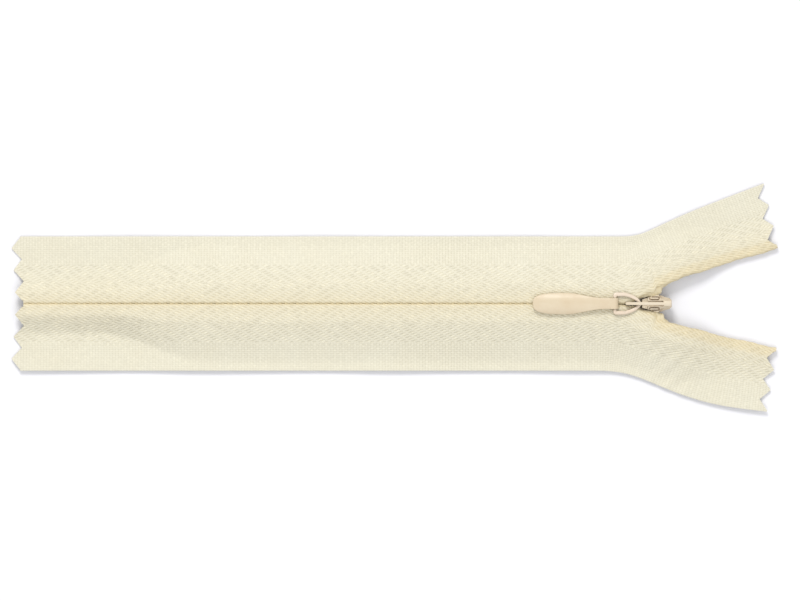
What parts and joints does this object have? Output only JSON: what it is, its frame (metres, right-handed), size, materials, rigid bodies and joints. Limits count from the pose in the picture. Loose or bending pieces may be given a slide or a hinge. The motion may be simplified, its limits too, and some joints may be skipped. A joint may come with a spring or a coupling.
{
  "type": "concealed zipper",
  "caption": "Concealed closed-end zipper for garments: two woven tapes folded over meshing coils, a slider with a ring and drop-shaped pull, and end stops.",
  "frame": {"origin": "centre of the bottom stop's flat underside, on the plane the zipper rests on", "axes": "+X along the chain from the bottom stop towards the slider and the top ends, +Y towards the left half, +Z out of the face"},
  "size_m": [0.1431, 0.0433, 0.0047],
  "materials": {
    "tape": "woven polyester, soft satin",
    "coil": "smooth monofilament",
    "cord": "twisted yarn",
    "thread": "twisted thread",
    "top_stop": "fused filament",
    "stop": "enamel",
    "slider": "satin enamel",
    "ring": "satin enamel",
    "pull": "satin enamel"
  },
  "bodies": {
    "base": {"bottom_stop": "stop", "left_tape_bottom": "tape", "left_coil_bottom": "coil", "left_cord_bottom": "cord", "left_stitching_bottom": "thread", "right_tape_bottom": "tape", "right_coil_bottom": "coil", "right_cord_bottom": "cord", "right_stitching_bottom": "thread"},
    "left_side": {"left_tape": "tape", "left_coil": "coil", "left_cord": "cord", "left_stitching": "thread"},
    "left_top": {"left_tape_top": "tape", "left_coil_top": "coil", "left_cord_top": "cord", "left_stitching_top": "thread", "left_top_stop": "top_stop"},
    "right_side": {"right_tape": "tape", "right_coil": "coil", "right_cord": "cord", "right_stitching": "thread"},
    "right_top": {"right_tape_top": "tape", "right_coil_top": "coil", "right_cord_top": "cord", "right_stitching_top": "thread", "right_top_stop": "top_stop"},
    "slider": {"slider_body": "slider"},
    "ring": {"pull_ring": "ring"},
    "pull": {"pull_tab": "pull"}
  },
  "joints": [
    {"name": "slider_travel", "type": "slide", "parent": "base", "child": "slider", "axis": [-1, 0, 0], "range_m": [0, 0.0871]},
    {"name": "left_part", "type": "hinge", "parent": "base", "child": "left_side", "pos_m": [0.0044, 0, 0], "axis": [0, 0, 1], "range_deg": [0, 20.2], "deforming": ["left_tape", "left_coil", "left_cord", "left_stitching"]},
    {"name": "right_part", "type": "hinge", "parent": "base", "child": "right_side", "pos_m": [0.0044, 0, 0], "axis": [0, 0, -1], "range_deg": [0, 17.2], "deforming": ["right_tape", "right_coil", "right_cord", "right_stitching"]},
    {"name": "left_straighten", "type": "hinge", "parent": "left_side", "child": "left_top", "pos_m": [0.0915, 0, 0], "axis": [0, 0, -1], "range_deg": [0, 20.2], "deforming": ["left_tape_top", "left_coil_top", "left_cord_top", "left_stitching_top"]},
    {"name": "right_straighten", "type": "hinge", "parent": "right_side", "child": "right_top", "pos_m": [0.0915, 0, 0], "axis": [0, 0, 1], "range_deg": [0, 17.2], "deforming": ["right_tape_top", "right_coil_top", "right_cord_top", "right_stitching_top"]},
    {"name": "ring_swing", "type": "hinge", "parent": "slider", "child": "ring", "pos_m": [0.0941, 0, 0.00367], "axis": [0, 1, 0], "range_deg": [0, 105]},
    {"name": "pull_swing", "type": "hinge", "parent": "ring", "child": "pull", "pos_m": [0.08951, 0, 0.00403], "axis": [0, 1, 0], "range_deg": [0, 75]}
  ],
  "couplings": [
    {"joint": "left_part", "follows": "slider_travel", "rad_per_m": 4.0076},
    {"joint": "right_part", "follows": "slider_travel", "rad_per_m": 3.4065},
    {"joint": "left_straighten", "follows": "slider_travel", "rad_per_m": 4.0076},
    {"joint": "right_straighten", "follows": "slider_travel", "rad_per_m": 3.4065}
  ]
}
